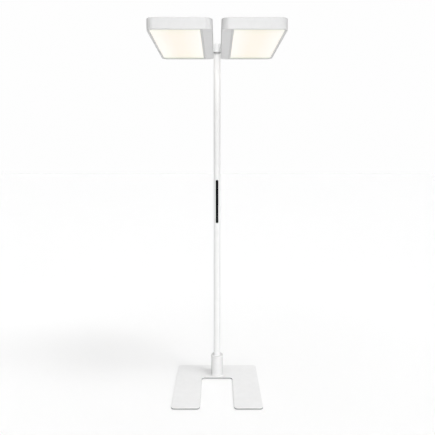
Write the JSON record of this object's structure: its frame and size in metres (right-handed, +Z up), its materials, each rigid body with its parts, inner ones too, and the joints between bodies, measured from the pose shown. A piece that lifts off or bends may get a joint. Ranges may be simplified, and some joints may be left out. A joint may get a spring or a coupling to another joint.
{
  "type": "office floor lamp",
  "caption": "Office floor lamp: flat lit heads side by side that swivel as one on a round pole with a touch strip, over a U-shaped base plate.",
  "frame": {"origin": "on the floor, on the pole's axis", "axes": "+Z up along the pole; -Y the front, where the base is open and the touch strip faces; +X to the right as seen from the front"},
  "size_m": [0.654, 0.628, 1.95],
  "materials": {
    "white_coat": "satin white powder coat",
    "head_coat": "satin white coat on cast aluminium",
    "band_white": "fine matt white",
    "bezel_grey": "matt light grey",
    "opal": "opal, lit from behind",
    "up_opal": "opal, lit from below",
    "clear_acrylic": "clear, polished edges",
    "white_foil": "diffuse white",
    "circuit_board": "white solder mask",
    "aluminium": "mill finish",
    "white_plastic": "fine satin",
    "bearing_nylon": "smooth",
    "steel": "zinc plated",
    "rubber": "matt black",
    "cable_jacket": "smooth jacket",
    "black_plastic": "satin black",
    "black_gloss": "glossy black touch surface"
  },
  "bodies": {
    "stand": {"floor_mat": "rubber", "base_plate": "white_coat", "pole_socket": "steel", "socket_screws": "steel", "clamp_screws": "steel", "sleeve_cover": "white_coat", "pole_collar": "white_plastic", "cord_gland": "white_plastic", "pole_tube": "white_coat", "pole_cable": "cable_jacket", "cable_socket": "black_plastic", "control_carrier": "black_plastic", "control_board": "circuit_board", "control_strip": "black_gloss", "swivel_pin": "steel", "thrust_washer": "black_plastic", "friction_washer": "steel", "stop_washer": "steel", "swivel_nut": "steel"},
    "luminaire": {"hub": "head_coat", "lower_bush": "bearing_nylon", "upper_bush": "bearing_nylon", "stop_screw": "steel", "hub_cap": "head_coat", "head_bolts": "steel", "head_harness": "cable_jacket", "left_shell": "head_coat", "left_bezel": "bezel_grey", "left_diffuser": "opal", "left_light_guide": "clear_acrylic", "left_reflector": "white_foil", "left_led_strips": "circuit_board", "left_tray": "aluminium", "left_up_board": "circuit_board", "left_up_cover": "up_opal", "left_band_cover": "band_white", "left_driver": "white_plastic", "left_bracket": "steel", "left_screws": "steel", "right_shell": "head_coat", "right_bezel": "bezel_grey", "right_diffuser": "opal", "right_light_guide": "clear_acrylic", "right_reflector": "white_foil", "right_led_strips": "circuit_board", "right_tray": "aluminium", "right_up_board": "circuit_board", "right_up_cover": "up_opal", "right_band_cover": "band_white", "right_driver": "white_plastic", "right_bracket": "steel", "right_screws": "steel"}
  },
  "joints": [
    {"name": "head_swivel", "type": "hinge", "parent": "stand", "child": "luminaire", "pos_m": [0, 0, 1.903], "axis": [0, 0, 1], "range_deg": [-160, 160]}
  ]
}
